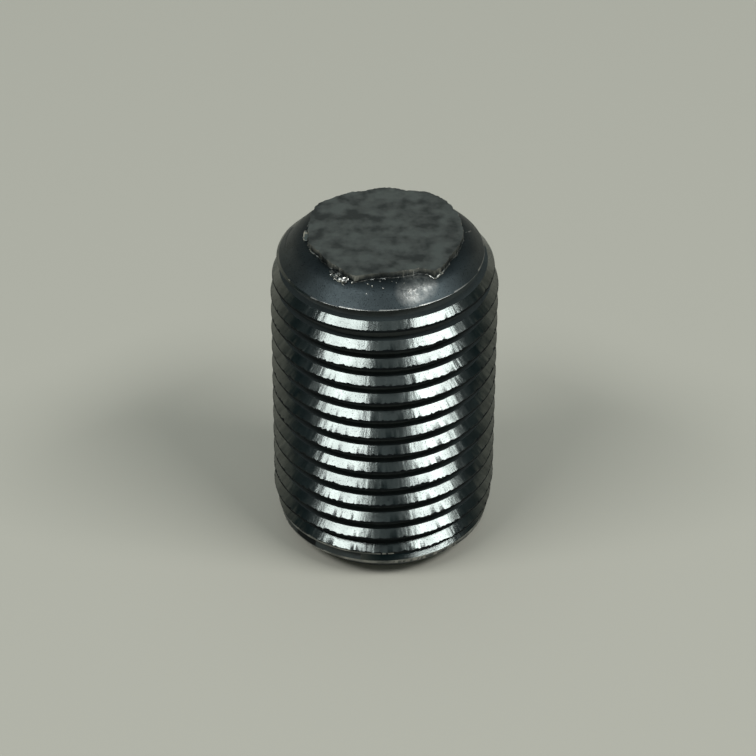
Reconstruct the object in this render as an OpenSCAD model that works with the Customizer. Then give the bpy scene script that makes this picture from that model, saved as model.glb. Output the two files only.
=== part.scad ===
// Fully threaded nipple with a hexagonal through bore. Sizes are in millimetres.
// The origin is the centre of the bottom face, and +Z runs along the thread.

/* [Body] */
// Length over both end faces
body_len = 15; // [12:0.5:30]

/* [Thread] */
// Major diameter, over the thread crests
major_d = 9.728; // [9.2:0.001:12]
// Pitch: how far one turn climbs
pitch = 0.907; // [0.8:0.001:1.1]
// Depth from crest to root, measured along a radius
thread_depth = 0.581; // [0.35:0.001:0.65]
// Angle between the two flanks
flank_angle = 55; // [45:1:58]
// Width of the flat on the crest
crest_flat = 0.1; // [0.05:0.01:0.2]
// Angle at which the middle of the groove crosses the bottom face
thread_start = 175; // [0:1:359]

/* [Ends] */
// Length of each end chamfer, along the axis
chamfer_len = 0.93; // [0.5:0.01:1.1]
// Angle between the chamfer and the axis
chamfer_angle = 45; // [30:1:48]
// Length over which the crests rise from the chamfer to the full diameter
lead_len = 1.37; // [0.5:0.01:2.5]
// How far the crest lies below the full diameter where it meets the chamfer
lead_drop = 0.284; // [0.1:0.001:0.4]

/* [Hexagonal bore] */
// Width across the flats
hex_af = 6; // [4:0.1:6.2]

/* [Hidden] */

// Straight steps in one turn of the helix
turn_steps = 30;
// How far a cutter runs past the surface that it cuts
over = 0.06;

major_r = major_d / 2;
root_r = major_r - thread_depth;
lead_r = major_r - lead_drop;
end_r = lead_r - chamfer_len * tan(chamfer_angle);

// The groove is what the crest and the two flanks leave of one pitch.
flank_rise = tan(flank_angle / 2);
root_flat = pitch - crest_flat - 2 * thread_depth * flank_rise;
mouth = root_flat + 2 * (thread_depth + over) * flank_rise;

// One end of the blank's outline as [radius, height], from the end face up to the full diameter
end_outline = [[end_r, 0], [lead_r, chamfer_len], [major_r, chamfer_len + lead_len]];

function flipped(points) =
    [for (i = [len(points) - 1 : -1 : 0]) [points[i][0], body_len - points[i][1]]];

// Groove section as [radius, height above the middle of the groove]
groove = [
    [root_r, -root_flat / 2],
    [major_r + over, -mouth / 2],
    [major_r + over, mouth / 2],
    [root_r, root_flat / 2]
];

// The groove starts one pitch below the bottom face and ends one pitch above the top face.
turns = body_len / pitch + 2;
rings = ceil(turns * turn_steps);

function ring(i) =
    let (
        angle = thread_start + 360 * i / turn_steps,
        height = pitch * (i / turn_steps - 1)
    )
    [for (p = groove) [p[0] * cos(angle), p[0] * sin(angle), p[1] + height]];

// Two triangles join corner c of ring i, and the corner next to it, to ring i + 1.
function band(i, c, n) =
    let (a = i * n + c, b = i * n + (c + 1) % n)
    [[a, b, a + n], [b, b + n, a + n]];

// Right-hand helical groove that cuts the whole thread in one pass
module thread_groove() {
    n = len(groove);
    points = [for (i = [0 : rings]) each ring(i)];
    start_cap = [[for (c = [n - 1 : -1 : 0]) c]];
    end_cap = [[for (c = [0 : n - 1]) rings * n + c]];
    sides = [for (i = [0 : rings - 1]) for (c = [0 : n - 1]) each band(i, c, n)];
    polyhedron(points, concat(start_cap, end_cap, sides), convexity = 20);
}

// Turned bar with a chamfer and a shallow lead at each end
module blank() {
    rotate_extrude($fn = 72)
        polygon(concat([[0, 0]], end_outline, flipped(end_outline), [[0, body_len]]));
}

// Broached hexagon, with two corners on the X axis
module hex_bore() {
    translate([0, 0, -over])
        cylinder(r = hex_af / 2 / cos(30), h = body_len + 2 * over, $fn = 6);
}

module nipple() {
    color("#25292b")
        difference() {
            blank();
            thread_groove();
            hex_bore();
        }
}

nipple();
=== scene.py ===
"""Black steel threaded nipple with a hexagonal bore, built as an add-on that is run as a script.

Every length is in metres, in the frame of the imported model: the origin is the centre of the bottom end face
and +Z runs along the thread.
"""

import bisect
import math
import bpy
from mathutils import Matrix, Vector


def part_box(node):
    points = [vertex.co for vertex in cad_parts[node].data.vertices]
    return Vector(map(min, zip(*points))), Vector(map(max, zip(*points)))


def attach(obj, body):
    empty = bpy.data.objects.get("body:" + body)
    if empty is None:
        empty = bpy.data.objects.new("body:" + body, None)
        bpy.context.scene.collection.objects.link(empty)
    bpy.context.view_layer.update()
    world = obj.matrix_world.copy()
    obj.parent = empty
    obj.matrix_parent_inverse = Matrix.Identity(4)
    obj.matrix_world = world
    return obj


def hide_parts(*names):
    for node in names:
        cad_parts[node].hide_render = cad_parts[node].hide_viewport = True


bl_info = {
    "name": "Threaded Nipple",
    "version": (1, 0, 0),
    "blender": (4, 5, 0),
    "location": "View3D > Sidebar > Nipple",
    "description": "Turns, threads and broaches a black steel nipple, and sets up its studio",
    "category": "Add Mesh",
}

import bmesh
import bpy
from bpy.props import FloatProperty, FloatVectorProperty, PointerProperty
from mathutils import Matrix, Vector, noise

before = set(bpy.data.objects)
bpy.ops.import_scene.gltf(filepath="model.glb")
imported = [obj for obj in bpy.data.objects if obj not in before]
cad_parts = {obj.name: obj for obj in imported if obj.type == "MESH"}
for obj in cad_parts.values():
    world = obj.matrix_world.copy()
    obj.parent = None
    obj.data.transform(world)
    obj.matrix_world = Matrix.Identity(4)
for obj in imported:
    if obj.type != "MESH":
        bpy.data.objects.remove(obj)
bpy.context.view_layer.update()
NODE_LOW, NODE_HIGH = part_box("nipple")

MM = 0.001

# Turned and swept surfaces
BLANK_SEGMENTS = 360
THREAD_STEPS = 360
MOUTH_SEGMENTS = 360
SHORTEST_EDGE = 0.0005 * MM
CLOSING_PASSES = 6
FEWEST_FACES = 100  # a body with fewer faces than this after a cut is a failed cut
OVER = 0.08 * MM  # how far the thread tool runs past the surface that it cuts
BROACH_OVER = 0.24 * MM  # how far the broach runs past each end
DOME = 1.0 * MM  # radius that runs the end face into the chamfer
DOME_STEPS = 10
CHAMFER_ROWS = 12
LEAD_KNEE = (0.72, 0.06 * MM)  # the lead is steeper up to this share of its length, where this drop is left
BEAD_ROOM = 0.03 * MM  # the top face lies this much low, so that the torn edge stays within the length

# Groove of the thread
LAND = 0.012 * MM  # uncut strip left along the middle of the crest, on each side
LAND_CLEAR = 0.006 * MM  # how far the tool stands off that strip, so that the two surfaces don't meet
CREST_ROUND = 0.018 * MM
CREST_STEPS = 2
CORNER_REACH = 3 * CREST_ROUND  # points this near the crest's corner wear away with it
CREASE_REACH = 0.01 * MM  # points this near the foot of the face wander
SLOT_DROP = 0.06 * MM  # how far the slot climbs from the foot of the face to the root
# The groove runs out towards each end, between these distances from the bottom and from the top face
RUN_OUT = ((1.25 * MM, 1.6 * MM), (0.45 * MM, 0.85 * MM))
RUN_OUT_CLEAR = 0.02 * MM  # how far the tool stands off the blank where the groove has run out

# Lumps of seeded noise: (height, size)
CORNER_NICKS = (0.078 * MM, 0.11 * MM)
CORNER_WAVES = (0.018 * MM, 0.4 * MM)
CREASE_WAVES = (0.014 * MM, 0.25 * MM)
MOUTH_WAVES = (0.035 * MM, 0.22 * MM)
MOUTH_FRAYS = (0.04 * MM, 0.1 * MM)
BEAD_SWELLS = (0.03 * MM, 0.3 * MM)
BEAD_DROPS = (0.05 * MM, 0.13 * MM)
CURL_DENTS = (0.045 * MM, 0.09 * MM)
FLAP_DENTS = 0.14 * MM  # size of the lumps on a chip
SEED_SHIFT = Vector((11.3, 4.7, 8.1))
MOUTH_STRETCH = 1.2  # the waves of the torn edge are this much shorter across the bar than along it

# Wear of the crest's lower corner: how far it is worn up the face on average, at least and at most
CORNER_WEAR, CORNER_LEAST, CORNER_MOST = 0.009 * MM, -0.03 * MM, 0.08 * MM

# Torn edge of the bore: (angle in degrees, radius in mm), going round once
MOUTH = (
    (-178, 3.22), (-166, 3.27), (-155, 3.16), (-146, 3.2), (-138, 3.25), (-126, 3.33), (-118, 3.55),
    (-113, 3.57), (-104, 3.25), (-94, 3.1), (-84, 3.07), (-75, 3.06), (-66, 3.1), (-62, 3.3),
    (-58.5, 3.62), (-53, 3.55), (-47, 3.46), (-39, 3.29), (-27, 3.27), (-17, 3.26), (-4, 3.31),
    (6, 3.3), (18, 3.38), (28, 3.46), (37, 3.55), (46, 3.6), (56, 3.6), (64, 3.48), (71, 3.36),
    (78, 3.42), (86, 3.44), (92, 3.4), (101, 3.3), (111, 3.38), (120, 3.41), (132, 3.47),
    (139, 3.56), (145, 3.52), (159, 3.33), (169, 3.24),
)
# How far the torn edge reaches down the bore: (depth in mm, share of the way from the hexagon to the edge)
MOUTH_DEPTHS = ((1.3, 0), (0.8, 0.2), (0.4, 0.55), (0.15, 0.85), (0.04, 0.96), (0, 1))
PLAIN_MOUTH = 0.2 * MM  # how far the bottom mouth opens past the flats of the hexagon

# Rolled burr along the torn edge
BEAD_TUBE = 0.25
BEAD_OUT = 0.008 * MM
BEAD_THICK, BEAD_LEAST = 0.03 * MM, 0.012 * MM
BEAD_FLAT = 0.8

# Torn scraps
CHIP_THICK = 0.05 * MM
CHIP_CUTS = 7
RIBBON_THICK = 0.018 * MM
RIBBON_CUTS = (22, 8)
CURL_START = 0.6  # angle by which a curl starts off behind its place, in radians
CURL_RISE = 0.4  # how high the middle of the roll stands, as a share of its radius
SLIVER_DENTS = (0.4, 0.7)  # height and size of the dents, as shares of a sliver's thickness and width


def srgb(code):
    """Linear colour of an sRGB hex code."""
    parts = [int(code[i : i + 2], 16) / 255 for i in (1, 3, 5)]
    return [p / 12.92 if p <= 0.04045 else ((p + 0.055) / 1.055) ** 2.4 for p in parts]


# Colours of the black skin, of the metal below it, and of the painted shade in the groove and in the bore
BURNISHED = srgb("#545957")
# The next two colours are painted shade: dark colours that stand in for the shade in the groove, on the crest
# and in the bore
GROOVE_SHADE = srgb("#252e2f")
BORE_SHADE = srgb("#04080b")
BARE_STEEL = srgb("#c4c4be")
# Places rubbed through to grey metal: (angle in degrees, radius, depth below the top face, size), in mm
SCUFFS = (
    (-70, 3.66, 0.1, 0.85),
    (-77, 3.88, 0.3, 0.75),
)

# Finish stored on each face: burnished, painted shade, bare, and bare along worn edges, each from 0 to 1
BURNISHED_FACE = (1.0, 0.0, 0.0, 0.0)
SATIN_END = (0.0, 0.0, 0.0, 0.7)
# Painted shade at half strength in the groove, nearly full on the crest and full in the bore
SHADE_IN_GROOVE = (0.0, 0.5, 0.0, 0.0)
SHADE_ON_CREST = (0.0, 0.9, 0.0, 0.0)
SHADE_IN_BORE = (0.0, 1.0, 0.0, 0.0)
BEAD_BARE = 0.45
BARE_BURNISH = 0.3  # how burnished a bare scrap is
KEEN_EDGE = math.radians(28)
# A face lies on the turned blank, or on the crest, when it is no deeper than this
BLANK_SKIN, CREST_SKIN = 0.03 * MM, 0.06 * MM
END_FACE = (0.25 * MM, 3.8 * MM)  # depth and radius within which a face belongs to the rounded end
UPPER_FACE = (0.5, 0.9)  # least and most that a face of the thread looks up
INTO_BORE = -0.2  # a face that looks inwards by more than this is in the bore
BODY_SMOOTH, BURR_SMOOTH = math.radians(10), math.radians(35)

# Studio
FLOOR_SIZE = 1.2
# Softboxes: (name, azimuth, elevation, roll, width and height as the object sees them, all in degrees, watts)
LAMPS = (
    ("left_softbox", -54.5, 51, 16, 33, 13, 1.15),
    ("right_softbox", 58.5, 50, -16, 32, 13, 1.42),
)
LAMP_DISTANCE = 0.5
LAMP_AIM = (0, 0, 7 * MM)
# Colours of the room by the sine of the height above the horizon
ROOM = (
    (0.0, "#d4d2c4"), (0.26, "#bcbaae"), (0.5, "#2c454a"), (0.74, "#46585c"),
    (0.9, "#b2bcbe"), (1.0, "#b2bcbe"),
)

# Camera: the hexagon stands turned by TWIST degrees to it
TWIST = 3.5
SENSOR_MM = 36
FOCAL_PX = 3045.17
IMAGE_WIDTH = 756
BAR_RADIUS = 4.864 * MM
VIEW_ELEVATION = 35.99
VIEW_ROLL = 0.2089
VIEW_DISTANCE = 27.3172 * BAR_RADIUS
VIEW_AIM = (-0.0534 * BAR_RADIUS, 0, 15 * MM - 1.5207 * BAR_RADIUS)
CLIP = (0.01, 10)

MATH = "ShaderNodeMath"
VECTOR = "ShaderNodeVectorMath"
NOISE = "ShaderNodeTexNoise"
MIX = "ShaderNodeMix"


class ThreadSizes(bpy.types.PropertyGroup):
    """Sizes of the bar and of its thread"""

    length: FloatProperty(
        name="Length",
        description="Length over both end faces",
        default=NODE_HIGH[2],
        unit="LENGTH",
        precision=6,
    )
    major: FloatProperty(
        name="Major diameter",
        description="Diameter over the crests",
        default=9.7276 * MM,
        unit="LENGTH",
        precision=6,
    )
    pitch: FloatProperty(
        name="Pitch",
        description="How far one turn climbs",
        default=0.907 * MM,
        unit="LENGTH",
        precision=6,
    )
    crest: FloatProperty(
        name="Crest",
        description="Width of the crest",
        default=0.1 * MM,
        unit="LENGTH",
        precision=6,
    )
    face: FloatProperty(
        name="Face",
        description="Depth of the smeared upper face",
        default=0.305 * MM,
        unit="LENGTH",
        precision=6,
    )
    face_lean: FloatProperty(
        name="Face lean",
        description="How far the upper face looks up",
        default=math.radians(47.5),
        subtype="ANGLE",
    )
    depth: FloatProperty(
        name="Depth",
        description="Depth from crest to root",
        default=0.54 * MM,
        unit="LENGTH",
        precision=6,
    )
    under: FloatProperty(
        name="Under face",
        description="Lean of the lower face",
        default=math.radians(6),
        subtype="ANGLE",
    )
    start: FloatProperty(
        name="Start",
        description="Angle at which the groove crosses the bottom face",
        default=math.radians(175),
        subtype="ANGLE",
    )


class EndSizes(bpy.types.PropertyGroup):
    """Sizes of the two ends and of the bore"""

    chamfer: FloatProperty(
        name="Chamfer",
        description="Length of the chamfer along the axis",
        default=0.93 * MM,
        unit="LENGTH",
        precision=6,
    )
    chamfer_angle: FloatProperty(
        name="Chamfer angle",
        description="Angle between the chamfer and the axis",
        default=math.radians(45),
        subtype="ANGLE",
    )
    lead: FloatProperty(
        name="Lead",
        description="Length over which the crests rise to full diameter",
        default=1.37 * MM,
        unit="LENGTH",
        precision=6,
    )
    lead_drop: FloatProperty(
        name="Lead drop",
        description="How far the crest lies below full diameter at the chamfer",
        default=0.284 * MM,
        unit="LENGTH",
        precision=6,
    )
    across_flats: FloatProperty(
        name="Across flats",
        description="Width of the hexagonal bore across its flats",
        default=6 * MM,
        unit="LENGTH",
        precision=6,
    )


class FinishColours(bpy.types.PropertyGroup):
    """Colours of the steel and of the floor"""

    steel: FloatVectorProperty(
        name="Black oxide",
        description="Colour of the blackened steel",
        default=srgb("#373e40"),
        size=3,
        min=0,
        max=1,
        subtype="COLOR",
    )
    floor: FloatVectorProperty(
        name="Floor",
        description="Colour of the studio floor",
        default=srgb("#b1b0a5"),
        size=3,
        min=0,
        max=1,
        subtype="COLOR",
    )


# Burrs: every place is (angle in degrees, radius, depth below the top face), in mm
# Shards run from one place to another: (start, end, width, thickness, how bare the metal is)
SHARDS = (
    ((-62.8, 3.1, 0.06), (-59.0, 3.64, 0.1), 0.15, 0.13, 1.0),
    ((-59.4, 3.66, 0.1), (-49.5, 3.52, 0.08), 0.14, 0.13, 1.0),
    ((169, 3.38, 0.04), (-177, 3.33, 0.04), 0.24, 0.12, 1.0),
    ((161, 3.38, 0.04), (164, 3.36, 0.04), 0.07, 0.06, 0.8),
    ((66.5, 3.42, 0.05), (57.5, 3.52, 0.08), 0.6, 0.2, 1.0),
    ((63, 3.16, 0.12), (57.5, 3.3, 0.15), 0.2, 0.18, 1.0),
    ((121, 3.66, 0.03), (125.3, 2.98, 0.1), 0.1, 0.1, 1.0),
    ((125.5, 2.98, 0.1), (119.3, 3.02, 0.08), 0.09, 0.09, 1.0),
    ((1, 3.36, 0.05), (6.5, 3.72, 0.14), 0.09, 0.06, 0.6),
    ((-115.6, 3.64, 0.07), (-114.4, 3.68, 0.08), 0.07, 0.07, 1.0),
    ((-102.2, 3.63, 0.08), (-101, 3.68, 0.09), 0.08, 0.06, 0.9),
    ((-95, 3.72, 0.12), (-94, 3.74, 0.12), 0.06, 0.05, 0.9),
    ((-105, 3.93, 0.3), (-104.3, 3.95, 0.31), 0.05, 0.05, 0.8),
    ((-88.8, 3.36, 0.03), (-87.8, 3.38, 0.03), 0.06, 0.05, 0.7),
    ((-86, 3.46, 0.04), (-85.2, 3.47, 0.04), 0.05, 0.05, 0.7),
    ((-81, 3.5, 0.05), (-79.8, 3.54, 0.06), 0.07, 0.06, 0.9),
    ((-79, 3.86, 0.22), (-78, 3.9, 0.25), 0.06, 0.05, 0.9),
    ((-105.4, 3.56, 0.06), (-103.6, 3.6, 0.07), 0.05, 0.05, 0.6),
    ((-97.4, 3.36, 0.03), (-96, 3.38, 0.03), 0.06, 0.05, 0.7),
    ((-93.6, 3.2, 0.03), (-92.6, 3.23, 0.03), 0.05, 0.05, 0.7),
    ((-155.9, 4.5, 0.8), (-154.7, 4.52, 0.8), 0.06, 0.06, 0.9),
)
# Curls rise at a place and roll over: (place, heading in degrees, length, width, roll radius, how bare it is)
CURLS = (
    ((-132.5, 3.44, 0.08), -150, 0.42, 0.26, 0.09, 0.7),
    ((-129, 3.56, 0.1), -60, 0.45, 0.26, 0.1, 0.9),
    ((-126.5, 3.38, 0.07), 170, 0.4, 0.28, 0.09, 1.0),
    ((-123.5, 3.62, 0.12), -120, 0.42, 0.26, 0.1, 0.9),
    ((-121.5, 3.36, 0.08), -30, 0.4, 0.26, 0.09, 1.0),
    ((-120, 3.72, 0.14), 150, 0.34, 0.2, 0.08, 0.8),
)
# Chips and crumpled scraps: (corners, how rough, how bare the metal is)
FLAPS = (
    (((133, 3.62, 0.05), (121, 3.7, 0.04), (125.3, 2.98, 0.12)), 0.05, 0.7),
    (((121, 3.66, 0.04), (112, 3.46, 0.04), (119.6, 3.02, 0.1), (125.3, 2.98, 0.12)), 0.05, 0.7),
    (
        (
            (-134, 3.36, 0.06), (-132, 3.6, 0.08), (-125, 3.76, 0.12), (-119, 3.72, 0.1), (-118.5, 3.4, 0.05),
            (-126, 3.26, 0.04),
        ),
        0.11,
        0.9,
    ),
    (((67, 3.4, 0.05), (63, 3.74, 0.08), (56.5, 3.72, 0.1), (57, 3.3, 0.14), (63, 3.14, 0.13)), 0.1, 1.0),
)


def deselect():
    if bpy.context.object and bpy.context.object.mode != "OBJECT":
        bpy.ops.object.mode_set(mode="OBJECT")
    bpy.ops.object.select_all(action="DESELECT")


def only(obj):
    deselect()
    obj.select_set(True)
    bpy.context.view_layer.objects.active = obj


def modify(obj, kind, **settings):
    """Adds a modifier with its settings and applies it."""
    only(obj)
    bpy.ops.object.modifier_add(type=kind)
    modifier = obj.modifiers[-1]
    for key, value in settings.items():
        setattr(modifier, key, value)
    bpy.ops.object.modifier_apply(modifier=modifier.name)


def cut(obj, tool):
    """Cuts the tool out of the piece and deletes the tool."""
    modify(obj, "BOOLEAN", operation="DIFFERENCE", solver="EXACT", object=tool)
    bpy.data.objects.remove(tool)
    if len(obj.data.polygons) < FEWEST_FACES:
        raise RuntimeError("the cut left nothing of " + obj.name)


def faces_out(obj):
    only(obj)
    bpy.ops.object.mode_set(mode="EDIT")
    bpy.ops.mesh.select_all(action="SELECT")
    bpy.ops.mesh.normals_make_consistent(inside=False)
    bpy.ops.object.mode_set(mode="OBJECT")


def close_up(obj):
    """Takes out edges that are too short to matter, fills the holes that this opens, and turns the faces out."""
    only(obj)
    bpy.ops.object.mode_set(mode="EDIT")
    for _ in range(CLOSING_PASSES):
        bpy.ops.mesh.select_all(action="SELECT")
        bpy.ops.mesh.dissolve_degenerate(threshold=SHORTEST_EDGE)
        bpy.ops.mesh.delete_loose()
        bpy.ops.mesh.select_mode(type="EDGE")
        bpy.ops.mesh.select_all(action="DESELECT")
        bpy.ops.mesh.select_non_manifold(
            use_wire=False, use_boundary=True, use_multi_face=False, use_non_contiguous=False, use_verts=False
        )
        if not obj.data.total_edge_sel:
            break
        bpy.ops.mesh.fill_holes(sides=0)
    bpy.ops.mesh.select_mode(type="VERT")
    faces_out(obj)


def turn(outline, segments):
    """Turns a solid from an outline of (radius, height) points, bottom first."""
    deselect()
    bpy.ops.mesh.primitive_circle_add(
        vertices=segments, radius=outline[0][0], location=(0, 0, outline[0][1]), fill_type="NGON"
    )
    obj = bpy.context.object
    bpy.ops.object.mode_set(mode="EDIT")
    for (r0, z0), (r1, z1) in zip(outline, outline[1:]):
        bpy.ops.mesh.extrude_region_move(TRANSFORM_OT_translate={"value": (0, 0, z1 - z0)})
        bpy.ops.transform.resize(value=(r1 / r0, r1 / r0, 1), center_override=(0, 0, z1))
    bpy.ops.object.mode_set(mode="OBJECT")
    bpy.ops.object.transform_apply(location=True, rotation=True, scale=True)
    faces_out(obj)
    return obj


def arc(centre, radius, start, end, steps):
    """Points of an arc in the plane of radius and height; angle 0 points outwards."""
    turns = [start + (end - start) * i / steps for i in range(steps + 1)]
    return [(centre[0] + radius * math.cos(a), centre[1] + radius * math.sin(a)) for a in turns]


def end_outline(sizes, ends, low=0.0):
    """Bottom end of the blank, from the end face up to full diameter. The face is low by this much."""
    major = sizes.major / 2
    lead_r = major - ends.lead_drop
    end_r = lead_r - (ends.chamfer - low) * math.tan(ends.chamfer_angle)
    swing = math.radians(90) - ends.chamfer_angle
    back = DOME * math.tan(swing / 2)
    dome = arc((end_r - back, low + DOME), DOME, math.radians(-90), math.radians(-90) + swing, DOME_STEPS)
    (r0, z0), (r1, z1) = dome[-1], (lead_r, ends.chamfer)
    shares = [i / CHAMFER_ROWS for i in range(1, CHAMFER_ROWS + 1)]
    rows = [(r0 + (r1 - r0) * share, z0 + (z1 - z0) * share) for share in shares]
    knee, drop = LEAD_KNEE
    return dome + rows + [(major - drop, ends.chamfer + ends.lead * knee), (major, ends.chamfer + ends.lead)]


def along(points, x):
    """Value at x on a line through (x, y) points."""
    i = min(max(bisect.bisect([p[0] for p in points], x), 1), len(points) - 1)
    (x0, y0), (x1, y1) = points[i - 1], points[i]
    return y0 + (y1 - y0) * (x - x0) / (x1 - x0)


def lead_inset(sizes, ends, z):
    """How far the whole thread is drawn in at this height, because the dies open over the lead."""
    from_end = min(z, sizes.length - z)
    knee, drop = LEAD_KNEE
    start, full = ends.chamfer, ends.chamfer + ends.lead
    if from_end > full:
        return 0.0
    return along([(start, ends.lead_drop), (start + ends.lead * knee, drop), (full, 0)], from_end)


def run_out(sizes, ends, r, z):
    """Radius of a point of the thread tool after the groove has run out towards the end."""
    at_top = z > sizes.length / 2
    from_end = sizes.length - z if at_top else z
    gone, full = RUN_OUT[at_top]
    if from_end >= full:
        return r
    lead_r = sizes.major / 2 - ends.lead_drop
    chamfer_r = lead_r - (ends.chamfer - from_end) * math.tan(ends.chamfer_angle)
    slope_r = sizes.major / 2 - lead_inset(sizes, ends, z)
    surface = min(chamfer_r, slope_r) + RUN_OUT_CLEAR
    share = max(from_end - gone, 0) / (full - gone)
    share = share * share * (3 - 2 * share)
    return r if r > surface else surface - (surface - r) * share


def wander(x, y, z, size):
    """Smooth seeded noise between -1 and 1 with lumps of this size."""
    return noise.noise(Vector((x, y, z)) / size + SEED_SHIFT)


def lumps(x, y, z, kind):
    """Seeded noise with the height and the size of one kind of lump."""
    height, size = kind
    return height * wander(x, y, z, size)


def mouth_radius(angle):
    """Radius of the torn edge of the bore at an angle in radians."""
    turn_deg = (math.degrees(angle) + 180) % 360 - 180
    table = [(MOUTH[-1][0] - 360, MOUTH[-1][1]), *MOUTH, (MOUTH[0][0] + 360, MOUTH[0][1])]
    return along(table, turn_deg) * MM


def torn_lumps(x, y, z, fray_z):
    """How far the torn edge strays here from its drawn radius."""
    return lumps(x * MOUTH_STRETCH, y * MOUTH_STRETCH, z, MOUTH_WAVES) + lumps(y, x, fray_z, MOUTH_FRAYS)


def face_height(sizes, ends, r):
    """Height of the top face or chamfer at a radius."""
    points = end_outline(sizes, ends, BEAD_ROOM)[: DOME_STEPS + CHAMFER_ROWS + 1]
    return sizes.length - (along(points, r) if r > points[0][0] else BEAD_ROOM)


def fillet(before, corner, after, radius, steps):
    """Points that round one corner of an outline of (radius, height) points."""
    corner = Vector(corner)
    to_before, to_after = (Vector(before) - corner).normalized(), (Vector(after) - corner).normalized()
    half = to_before.angle(to_after) / 2
    centre = corner + (to_before + to_after).normalized() * radius / math.sin(half)
    start, end = (corner + way * radius / math.tan(half) - centre for way in (to_before, to_after))
    swing = start.angle_signed(end)
    return [tuple(centre + Matrix.Rotation(-swing * i / steps, 2) @ start) for i in range(steps + 1)]


def groove_section(sizes):
    """Section of the groove between two crests, as (radius, height above its middle), from the bottom up."""
    major, root = sizes.major / 2, sizes.major / 2 - sizes.depth
    land, corner = sizes.pitch / 2 - LAND, (sizes.pitch - sizes.crest) / 2
    crease = (major - sizes.face, sizes.face / math.tan(sizes.face_lean) - corner)
    under = corner - sizes.depth * math.tan(sizes.under)
    lower = fillet((major, -land), (major, -corner), crease, CREST_ROUND, CREST_STEPS)
    upper = fillet((root, under), (major, corner), (major, land), CREST_ROUND, CREST_STEPS)
    slot = [crease, (root, crease[1] + SLOT_DROP), (root, under)]
    clear = [(major + OVER, land), (major + LAND_CLEAR, land)]
    return [(r, -z) for r, z in clear] + lower + slot + upper + clear[::-1]


def thread_tool(sizes, ends):
    """Helical solid that cuts the whole thread, from a pitch below the bottom face to a pitch above the top."""
    section = groove_section(sizes)
    deselect()
    bpy.ops.mesh.primitive_circle_add(vertices=len(section), radius=MM, fill_type="NOTHING")
    tool = bpy.context.object
    turned = Matrix.Rotation(sizes.start, 3, "Z")
    for vertex, (r, z) in zip(tool.data.vertices, section):
        vertex.co = turned @ Vector((r, 0, z - sizes.pitch))
    modify(
        tool,
        "SCREW",
        angle=math.tau,
        screw_offset=sizes.pitch,
        iterations=math.ceil(sizes.length / sizes.pitch) + 2,
        steps=THREAD_STEPS,
        render_steps=THREAD_STEPS,
        use_merge_vertices=False,
        use_normal_calculate=False,
    )
    major, corner = sizes.major / 2, (sizes.pitch - sizes.crest) / 2
    for vertex in tool.data.vertices:
        x, y, z = vertex.co
        r, angle = math.hypot(x, y), math.atan2(y, x)
        climb = z - sizes.pitch * (angle - sizes.start) / math.tau
        height = (climb + sizes.pitch / 2) % sizes.pitch - sizes.pitch / 2
        crest = z - height + math.copysign(sizes.pitch / 2, height)
        if major - CORNER_REACH < r < major + OVER / 2 and abs(height + corner) < CORNER_REACH:
            worn = CORNER_WEAR + lumps(x, y, z, CORNER_NICKS) + lumps(y, x, z, CORNER_WAVES)
            worn = min(max(worn, CORNER_LEAST), CORNER_MOST)
            r -= worn * math.sin(sizes.face_lean)
            z += worn * math.cos(sizes.face_lean)
        elif r < major - sizes.face + CREASE_REACH and height < 0:
            r += lumps(x, z, y, CREASE_WAVES)
        r -= lead_inset(sizes, ends, crest)
        r = run_out(sizes, ends, r, z)
        vertex.co = (r * math.cos(angle), r * math.sin(angle), z)
    bpy.ops.object.mode_set(mode="EDIT")
    bpy.ops.mesh.select_all(action="SELECT")
    bpy.ops.mesh.fill_holes(sides=0)
    bpy.ops.object.mode_set(mode="OBJECT")
    faces_out(tool)
    return tool


def bore_tool(sizes, ends):
    """Hexagonal broach, with two corners on the X axis, that opens into the torn edge at the top and into a
    small plain mouth at the bottom."""
    flat = ends.across_flats / 2
    levels = [(-BROACH_OVER, 1, 0), *((depth * MM, share, 0) for depth, share in reversed(MOUTH_DEPTHS))]
    levels += [(sizes.length - depth * MM, 0, share) for depth, share in MOUTH_DEPTHS]
    levels.append((sizes.length + BROACH_OVER, 0, 1))
    deselect()
    bpy.ops.mesh.primitive_circle_add(
        vertices=MOUTH_SEGMENTS, radius=flat, location=(0, 0, levels[0][0]), fill_type="NGON"
    )
    tool = bpy.context.object
    bpy.ops.object.mode_set(mode="EDIT")
    for (z0, _, _), (z1, _, _) in zip(levels, levels[1:]):
        bpy.ops.mesh.extrude_region_move(TRANSFORM_OT_translate={"value": (0, 0, z1 - z0)})
    bpy.ops.object.mode_set(mode="OBJECT")
    bpy.ops.object.transform_apply(location=True, rotation=True, scale=True)
    heights = [level[0] for level in levels]
    for vertex in tool.data.vertices:
        x, y, z = vertex.co
        angle = math.atan2(y, x)
        hexagon = flat / math.cos(angle % (math.pi / 3) - math.pi / 6)
        _, low, high = levels[min(range(len(levels)), key=lambda i: abs(heights[i] - z))]
        torn = mouth_radius(angle) + torn_lumps(x, y, z, z)
        plain = max(hexagon, flat + PLAIN_MOUTH)
        r = hexagon + (plain - hexagon) * low + (max(torn, flat) - hexagon) * high
        vertex.co = (r * math.cos(angle), r * math.sin(angle), z)
    faces_out(tool)
    return tool


def paint(piece, tell):
    """Stores the finish and the painted shade of each corner of each face: burnished, painted shade and bare,
    each from 0 to 1.
    """
    mesh = bmesh.new()
    mesh.from_mesh(piece.data)
    layer = mesh.loops.layers.float_color.new("finish_and_shade")
    keen = set()
    for edge in mesh.edges:
        if edge.is_manifold and edge.calc_face_angle_signed() > KEEN_EDGE:
            keen.update(edge.verts)
    for face in mesh.faces:
        burnished, painted_shade, bare, bare_edge = tell(face)
        for loop in face.loops:
            loop[layer] = (burnished, painted_shade, max(bare, bare_edge * (loop.vert in keen)), 1.0)
    mesh.to_mesh(piece.data)
    mesh.free()


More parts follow.
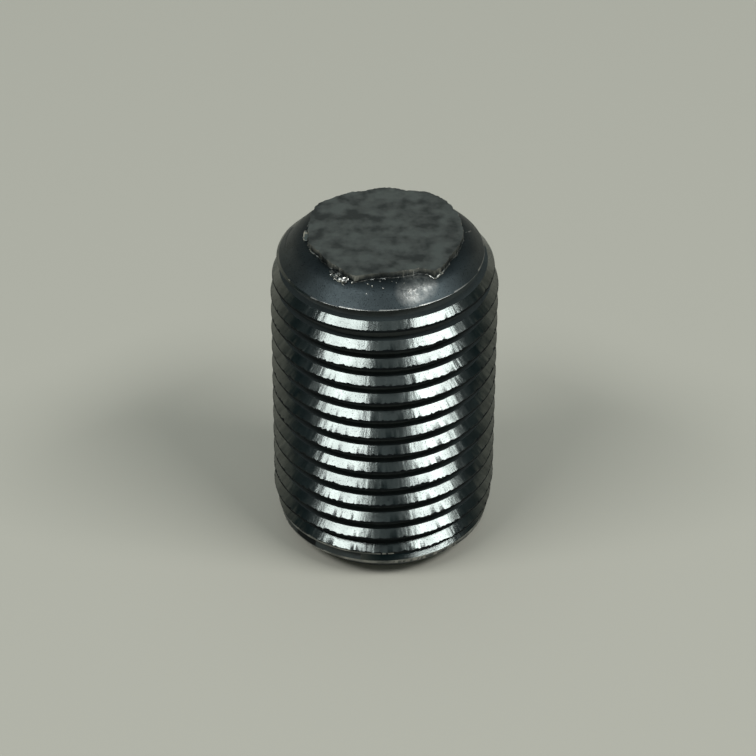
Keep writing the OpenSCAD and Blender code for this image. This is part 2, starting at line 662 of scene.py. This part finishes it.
def body_finish_and_shade(sizes, ends):
    """Tells where the body is burnished, darkened with painted shade or worn bare, on its faces and along its
    edges.
    """
    lead_r = sizes.major / 2 - ends.lead_drop
    end_r = lead_r - ends.chamfer * math.tan(ends.chamfer_angle)

    def tell(face):
        centre, normal = face.calc_center_median(), face.normal
        r = centre.xy.length
        outward = normal.xy.dot(centre.xy) / r
        from_end = min(centre.z, sizes.length - centre.z)
        chamfer_r = end_r + from_end * math.tan(ends.chamfer_angle)
        slope_r = sizes.major / 2 - lead_inset(sizes, ends, centre.z)
        on_end = from_end < END_FACE[0] and r < END_FACE[1]
        on_blank = r > min(chamfer_r, slope_r) - BLANK_SKIN or on_end
        # The bore, the crest and the groove get painted shade; the turned ends and the upper faces don't.
        if outward < INTO_BORE:
            return SHADE_IN_BORE
        if on_blank and from_end < RUN_OUT[centre.z > sizes.length / 2][1]:
            return SATIN_END
        if UPPER_FACE[0] < normal.z < UPPER_FACE[1]:
            return BURNISHED_FACE
        return SHADE_ON_CREST if r > slope_r - CREST_SKIN else SHADE_IN_GROOVE

    return tell


def add_node(tree, kind, inputs=(), **settings):
    """Adds a node with its settings. The inputs are numbers, colours, sockets or nodes, whose first output is
    meant, and go in order or by the name or place of a socket."""
    node = tree.nodes.new(kind)
    for key, value in settings.items():
        setattr(node, key, value)
    for key, value in inputs.items() if isinstance(inputs, dict) else enumerate(inputs):
        socket = node.inputs[key]
        if isinstance(value, bpy.types.Node):
            value = value.outputs[0]
        if isinstance(value, bpy.types.NodeSocket):
            tree.links.new(value, socket)
        else:
            socket.default_value = (*value, 1) if socket.type == "RGBA" else value
    return node


def polar(angle, radius, low):
    """Point from an angle in degrees, a radius and a depth below the top face in mm."""
    a = math.radians(angle)
    return radius * MM * math.cos(a), radius * MM * math.sin(a), NODE_HIGH[2] - low * MM


def new_material(name):
    material = bpy.data.materials.new(name)
    material.use_nodes = True
    tree = material.node_tree
    tree.nodes.clear()
    return material, tree


def black_oxide(colour):
    """Black oxide on machined carbon steel: a hot blackening bath leaves a thin, dark, slightly blue skin that
    keeps the metal's gloss and every tool mark. The dies burnish the faces of the thread to a deep gloss, the
    turned ends stay satin, and painted shade darkens the groove (matt), the crest and the bore. Rubbed edges
    show grey metal."""
    material, tree = new_material("black_oxide_steel")
    place = add_node(tree, "ShaderNodeTexCoord").outputs["Object"]
    stored = add_node(tree, "ShaderNodeAttribute", attribute_name="finish_and_shade")
    finish_and_shade = add_node(tree, "ShaderNodeSeparateColor", (stored,)).outputs
    burnished, painted_shade, bare = finish_and_shade["Red"], finish_and_shade["Green"], finish_and_shade["Blue"]

    # Tool chatter runs across the faces, so its place is taken round the bar and hardly along it.
    across = add_node(tree, VECTOR, (place, (1, 1, 0)), operation="MULTIPLY")
    outward = add_node(tree, VECTOR, (across,), operation="NORMALIZE")
    on_bar = add_node(tree, VECTOR, {0: outward, "Scale": BAR_RADIUS}, operation="SCALE")
    up = add_node(tree, VECTOR, (place, (0, 0, 0.25)), operation="MULTIPLY")
    wrapped = add_node(tree, VECTOR, (on_bar, up), operation="ADD")

    # Noises, with the size of their lumps: chatter marks and slower swells of the die, the grain of the skin,
    # clouds left by the bath, pits, dents, and the streaks and patches of a scuff
    chatter, swell, speckle, cloud, pit, dent, streak, patch = (
        add_node(tree, NOISE, {"Vector": where, "Scale": 1 / (size * MM), "Detail": detail})
        for where, size, detail in (
            (wrapped, 0.16, 3), (wrapped, 0.9, 2), (place, 0.07, 3), (place, 0.8, 3), (place, 0.06, 1),
            (place, 0.1, 3), (place, 0.15, 3), (place, 0.4, 3),
        )
    )

    # Scuffs near the mouth, rubbed through to grey metal in streaks
    near_scuff = 0.0
    for angle, radius, low, size in SCUFFS:
        away = add_node(tree, VECTOR, (place, polar(angle, radius, low)), operation="DISTANCE")
        share = add_node(tree, MATH, (away.outputs["Value"], size * MM), operation="DIVIDE")
        near = add_node(tree, MATH, (1.0, share), operation="SUBTRACT", use_clamp=True)
        near_scuff = add_node(tree, MATH, (near_scuff, near), operation="MAXIMUM")
    streaks = add_node(tree, MATH, (streak, patch), operation="ADD")
    streaks = add_node(tree, MATH, (streaks, 0.55), operation="SUBTRACT")
    reach = add_node(tree, MATH, (near_scuff, 1.9), operation="MULTIPLY")
    scuffed = add_node(tree, MATH, (streaks, reach), operation="MULTIPLY", use_clamp=True)
    scuffed = add_node(tree, MATH, (scuffed, 0.4), operation="MULTIPLY")

    # Worn edges show in patches, and torn metal shows all over
    clouded = add_node(tree, MATH, (cloud, 0.3), operation="SUBTRACT", use_clamp=True)
    clouded = add_node(tree, MATH, (clouded, 3.0), operation="MULTIPLY", use_clamp=True)
    rubbed = add_node(tree, MATH, (clouded, bare), operation="MULTIPLY")
    torn = add_node(tree, MATH, (bare, 2.5, -1.6), operation="MULTIPLY_ADD", use_clamp=True)
    rubbed = add_node(tree, MATH, (rubbed, torn), operation="MAXIMUM")
    worn = add_node(tree, MATH, (scuffed, rubbed), operation="MAXIMUM")

    # Painted shade reaches from the groove, at half strength, to the bore and the crest, at full strength
    in_groove = add_node(tree, MATH, (painted_shade, 2.0), operation="MULTIPLY", use_clamp=True)
    in_bore = add_node(tree, MATH, (painted_shade, 2.0, -1.0), operation="MULTIPLY_ADD", use_clamp=True)

    skin = add_node(tree, MIX, {0: burnished, 6: colour, 7: BURNISHED}, data_type="RGBA").outputs[2]
    # Colour of the painted shade, from the groove's towards the bore's, mixed into the skin
    shade_colour = add_node(tree, MIX, {0: in_bore, 6: GROOVE_SHADE, 7: BORE_SHADE}, data_type="RGBA").outputs[2]
    skin = add_node(tree, MIX, {0: in_groove, 6: skin, 7: shade_colour}, data_type="RGBA").outputs[2]
    tint = add_node(tree, MATH, (cloud, 0.9, 0.55), operation="MULTIPLY_ADD")
    pits = add_node(tree, MATH, (pit, 0.66), operation="GREATER_THAN")
    pits = add_node(tree, MATH, (pits, -0.55, 1.0), operation="MULTIPLY_ADD")
    tint = add_node(tree, MATH, (tint, pits), operation="MULTIPLY")
    skin = add_node(tree, VECTOR, {0: skin, "Scale": tint}, operation="SCALE")
    steel = add_node(tree, MIX, {0: worn, 6: skin, 7: BARE_STEEL}, data_type="RGBA").outputs[2]

    satin = add_node(tree, MATH, (speckle, 0.16, 0.38), operation="MULTIPLY_ADD")
    gloss = add_node(tree, MATH, (swell, 0.16, 0.11), operation="MULTIPLY_ADD")
    rough = add_node(tree, MIX, {0: burnished, 2: satin, 3: gloss})
    rough = add_node(tree, MATH, (painted_shade, 0.25, rough), operation="MULTIPLY_ADD")
    rough = add_node(tree, MIX, {0: worn, 2: rough, 3: 0.28})

    # The painted shade in the groove also takes away most of the metal gloss, which darkens it further.
    dulled_shade = add_node(tree, MATH, (in_groove, in_bore), operation="SUBTRACT")
    metal = add_node(tree, MATH, (dulled_shade, -0.85, 1.0), operation="MULTIPLY_ADD")

    fine = add_node(tree, MATH, (burnished, -0.75, 1.1), operation="MULTIPLY_ADD")
    fine = add_node(tree, MATH, (speckle, fine), operation="MULTIPLY")
    height = add_node(tree, MATH, (chatter, burnished, fine), operation="MULTIPLY_ADD")
    dented = add_node(tree, MATH, (near_scuff, 3.0), operation="MULTIPLY")
    dented = add_node(tree, MATH, (dent, dented), operation="MULTIPLY")
    height = add_node(tree, MATH, (height, dented), operation="ADD")
    bump = add_node(tree, "ShaderNodeBump", {"Height": height, "Strength": 1.0, "Distance": 0.006 * MM})

    shader = add_node(
        tree,
        "ShaderNodeBsdfPrincipled",
        {"Base Color": steel, "Roughness": rough, "Normal": bump, "Metallic": metal},
    )
    add_node(tree, "ShaderNodeOutputMaterial", {"Surface": shader})
    return material


def matt_board(colour):
    """Matt painted board: a plain pale surface with no gloss."""
    material, tree = new_material("matt_board")
    shader = add_node(
        tree, "ShaderNodeBsdfPrincipled", {"Base Color": colour, "Roughness": 0.9, "Specular IOR Level": 0.2}
    )
    add_node(tree, "ShaderNodeOutputMaterial", {"Surface": shader})
    return material


def crumple(obj, amount, size, ceiling):
    """Moves the vertices by seeded noise and keeps them below a ceiling."""
    for vertex in obj.data.vertices:
        x, y, z = vertex.co
        push = Vector((wander(y, z, x, size), wander(z, x, y, size), wander(x, y, z, size)))
        vertex.co += push * amount
        vertex.co.z = min(vertex.co.z, ceiling)


def shard(start, end, width, thick, ceiling):
    """Crumpled sliver of metal from one point to another."""
    start, end = Vector(start), Vector(end)
    deselect()
    bpy.ops.mesh.primitive_ico_sphere_add(subdivisions=3, radius=1)
    obj = bpy.context.object
    way = end - start
    turned = way.to_track_quat("X", "Z").to_matrix()
    grow = Matrix.Diagonal((way.length / 2, width / 2, thick / 2))
    for vertex in obj.data.vertices:
        vertex.co = turned @ (grow @ vertex.co) + (start + end) / 2
    dent, lump = SLIVER_DENTS
    crumple(obj, dent * min(width, thick), lump * max(width, thick), ceiling)
    return obj


def curl(place, heading, length, width, radius, ceiling):
    """Curled ribbon of torn metal that rises at the place and rolls over along the heading."""
    deselect()
    bpy.ops.mesh.primitive_grid_add(x_subdivisions=RIBBON_CUTS[0], y_subdivisions=RIBBON_CUTS[1], size=1)
    obj = bpy.context.object
    turned = Matrix.Rotation(heading, 3, "Z")
    for vertex in obj.data.vertices:
        share, side = vertex.co.x + 0.5, vertex.co.y
        # The roll tightens and the ribbon narrows towards its tip.
        tight = radius * (1.15 - 0.5 * share)
        bend = share * length / tight - CURL_START
        spread = width * side * (1 - 0.35 * share)
        rolled = Vector((tight * math.sin(bend), spread, -tight * math.cos(bend) + radius * CURL_RISE))
        vertex.co = turned @ rolled + Vector(place)
    crumple(obj, *CURL_DENTS, ceiling - RIBBON_THICK / 2)
    modify(obj, "SOLIDIFY", thickness=RIBBON_THICK, offset=0)
    return obj


def flap(corners, thick, rough, ceiling):
    """Crumpled chip of metal with these corners."""
    deselect()
    bpy.ops.mesh.primitive_circle_add(vertices=len(corners), radius=1, fill_type="NGON")
    obj = bpy.context.object
    for vertex, corner in zip(obj.data.vertices, corners):
        vertex.co = corner
    only(obj)
    bpy.ops.object.mode_set(mode="EDIT")
    bpy.ops.mesh.select_all(action="SELECT")
    bpy.ops.mesh.quads_convert_to_tris()
    bpy.ops.mesh.subdivide(number_cuts=CHIP_CUTS)
    bpy.ops.object.mode_set(mode="OBJECT")
    crumple(obj, rough, FLAP_DENTS, ceiling - thick / 2)
    modify(obj, "SOLIDIFY", thickness=thick, offset=0)
    return obj


def rim_bead(sizes, ends):
    """Rolled burr all round the torn edge of the bore."""
    deselect()
    bpy.ops.mesh.primitive_torus_add(
        major_segments=MOUTH_SEGMENTS, minor_segments=8, major_radius=1, minor_radius=BEAD_TUBE
    )
    bead = bpy.context.object
    for vertex in bead.data.vertices:
        x, y, z = vertex.co
        angle, out = math.atan2(y, x), math.hypot(x, y) - 1
        edge = mouth_radius(angle)
        cx, cy = edge * math.cos(angle), edge * math.sin(angle)
        edge += torn_lumps(cx, cy, sizes.length, z) + BEAD_OUT
        thick = BEAD_THICK + lumps(cx, cy, 0, BEAD_SWELLS) + lumps(cy, cx, 0, BEAD_DROPS)
        grow = max(thick, BEAD_LEAST) / BEAD_TUBE
        r, h = edge + out * grow, face_height(sizes, ends, edge) + z * grow * BEAD_FLAT
        vertex.co = (r * math.cos(angle), r * math.sin(angle), min(h, sizes.length))
    return bead


class NIPPLE_OT_body(bpy.types.Operator):
    """Turn, thread and broach the nipple"""

    bl_idname = "nipple.body"
    bl_label = "Threaded body"

    def execute(self, context):
        sizes, ends = context.scene.nipple_thread, context.scene.nipple_ends
        bottom = end_outline(sizes, ends)
        top = [(r, sizes.length - z) for r, z in reversed(end_outline(sizes, ends, BEAD_ROOM))]
        body = turn(bottom + top, BLANK_SEGMENTS)
        body.name = body.data.name = "threaded_body"
        cut(body, thread_tool(sizes, ends))
        cut(body, bore_tool(sizes, ends))
        close_up(body)
        paint(body, body_finish_and_shade(sizes, ends))
        only(body)
        bpy.ops.object.shade_smooth_by_angle(angle=BODY_SMOOTH)
        body.data.materials.clear()
        body.data.materials.append(black_oxide(context.scene.nipple_colours.steel))
        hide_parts("nipple")
        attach(body, "root")
        return {"FINISHED"}


class NIPPLE_OT_burrs(bpy.types.Operator):
    """Raise the torn burrs round the mouth of the bore"""

    bl_idname = "nipple.burrs"
    bl_label = "Rim burrs"

    def execute(self, context):
        sizes, ends = context.scene.nipple_thread, context.scene.nipple_ends
        ceiling = sizes.length

        def shine(piece, bare):
            paint(piece, lambda face: (BARE_BURNISH * bare, 0.0, bare, bare))
            return piece

        pieces = [shine(rim_bead(sizes, ends), BEAD_BARE)]
        for start, end, width, thick, bare in SHARDS:
            pieces.append(shine(shard(polar(*start), polar(*end), width * MM, thick * MM, ceiling), bare))
        for (angle, radius, low), heading, length, width, roll, bare in CURLS:
            place = polar(angle, radius, low)
            ribbon = curl(place, math.radians(heading), length * MM, width * MM, roll * MM, ceiling)
            pieces.append(shine(ribbon, bare))
        for corners, rough, bare in FLAPS:
            chip = flap([polar(*corner) for corner in corners], CHIP_THICK, rough * MM, ceiling)
            pieces.append(shine(chip, bare))
        deselect()
        for piece in pieces:
            piece.select_set(True)
        bpy.context.view_layer.objects.active = pieces[0]
        bpy.ops.object.join()
        burrs = bpy.context.object
        burrs.name = burrs.data.name = "rim_burrs"
        bpy.ops.object.transform_apply(location=True, rotation=True, scale=True)
        faces_out(burrs)
        only(burrs)
        bpy.ops.object.shade_smooth_by_angle(angle=BURR_SMOOTH)
        burrs.data.materials.clear()
        burrs.data.materials.append(bpy.data.materials["black_oxide_steel"])
        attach(burrs, "root")
        return {"FINISHED"}


class NIPPLE_OT_stage(bpy.types.Operator):
    """Set the floor, the lamps and the camera"""

    bl_idname = "nipple.stage"
    bl_label = "Studio"

    def execute(self, context):
        scene = context.scene
        scene.view_settings.view_transform = "Standard"
        deselect()
        bpy.ops.mesh.primitive_plane_add(size=FLOOR_SIZE, location=(0, 0, 0))
        floor = context.object
        floor.name = "floor"
        floor.data.materials.append(matt_board(scene.nipple_colours.floor))

        world = bpy.data.worlds.new("room")
        scene.world = world
        world.use_nodes = True
        tree = world.node_tree
        way = add_node(tree, "ShaderNodeTexCoord").outputs["Generated"]
        height = add_node(tree, "ShaderNodeSeparateXYZ", (way,)).outputs["Z"]
        ramp = add_node(tree, "ShaderNodeValToRGB", (height,))
        ramp.color_ramp.interpolation = "EASE"
        while len(ramp.color_ramp.elements) < len(ROOM):
            ramp.color_ramp.elements.new(0.5)
        for element, (sine, colour) in zip(ramp.color_ramp.elements, ROOM):
            element.position, element.color = sine, (*srgb(colour), 1)
        tree.links.new(ramp.outputs["Color"], tree.nodes["Background"].inputs["Color"])
        tree.nodes["Background"].inputs["Strength"].default_value = 1.0

        for name, azimuth, elevation, roll, wide, high, power in LAMPS:
            a, e = math.radians(azimuth - TWIST), math.radians(elevation)
            away = Vector((math.sin(a) * math.cos(e), -math.cos(a) * math.cos(e), math.sin(e)))
            light = bpy.data.lights.new(name, "AREA")
            light.shape = "RECTANGLE"
            light.size = 2 * LAMP_DISTANCE * math.tan(math.radians(wide) / 2)
            light.size_y = 2 * LAMP_DISTANCE * math.tan(math.radians(high) / 2)
            light.energy = power
            lamp = bpy.data.objects.new(name, light)
            scene.collection.objects.link(lamp)
            lamp.location = Vector(LAMP_AIM) + away * LAMP_DISTANCE
            facing = away.to_track_quat("Z", "Y").to_matrix() @ Matrix.Rotation(math.radians(roll), 3, "Z")
            lamp.rotation_euler = facing.to_euler()

        camera = bpy.data.cameras.new("camera")
        camera.sensor_width = SENSOR_MM
        camera.lens = FOCAL_PX * camera.sensor_width / IMAGE_WIDTH
        camera.clip_start, camera.clip_end = CLIP
        rig = bpy.data.objects.new("camera", camera)
        scene.collection.objects.link(rig)
        scene.camera = rig
        turned = Matrix.Rotation(math.radians(-TWIST), 3, "Z")
        e = math.radians(VIEW_ELEVATION)
        back = turned @ Vector((0, -math.cos(e), math.sin(e)))
        rig.location = turned @ Vector(VIEW_AIM) + back * VIEW_DISTANCE
        look = back.to_track_quat("Z", "Y").to_matrix() @ Matrix.Rotation(math.radians(VIEW_ROLL), 3, "Z")
        rig.rotation_euler = look.to_euler()
        return {"FINISHED"}


class NIPPLE_PT_panel(bpy.types.Panel):
    """Sizes, colours and steps of the nipple"""

    bl_label = "Threaded nipple"
    bl_idname = "NIPPLE_PT_panel"
    bl_space_type = "VIEW_3D"
    bl_region_type = "UI"
    bl_category = "Nipple"

    def draw(self, context):
        for group in (context.scene.nipple_thread, context.scene.nipple_ends, context.scene.nipple_colours):
            for key in group.__annotations__:
                self.layout.prop(group, key)
        for operator in OPERATORS:
            self.layout.operator(operator.bl_idname)


GROUPS = {"nipple_thread": ThreadSizes, "nipple_ends": EndSizes, "nipple_colours": FinishColours}
OPERATORS = (NIPPLE_OT_body, NIPPLE_OT_burrs, NIPPLE_OT_stage)
CLASSES = (*GROUPS.values(), *OPERATORS, NIPPLE_PT_panel)


def register():
    for cls in CLASSES:
        bpy.utils.register_class(cls)
    for name, group in GROUPS.items():
        setattr(bpy.types.Scene, name, PointerProperty(type=group))


def unregister():
    for name in GROUPS:
        delattr(bpy.types.Scene, name)
    for cls in reversed(CLASSES):
        bpy.utils.unregister_class(cls)


def main():
    register()
    bpy.ops.nipple.body()
    bpy.ops.nipple.burrs()
    bpy.ops.nipple.stage()


if __name__ == "__main__":
    main()
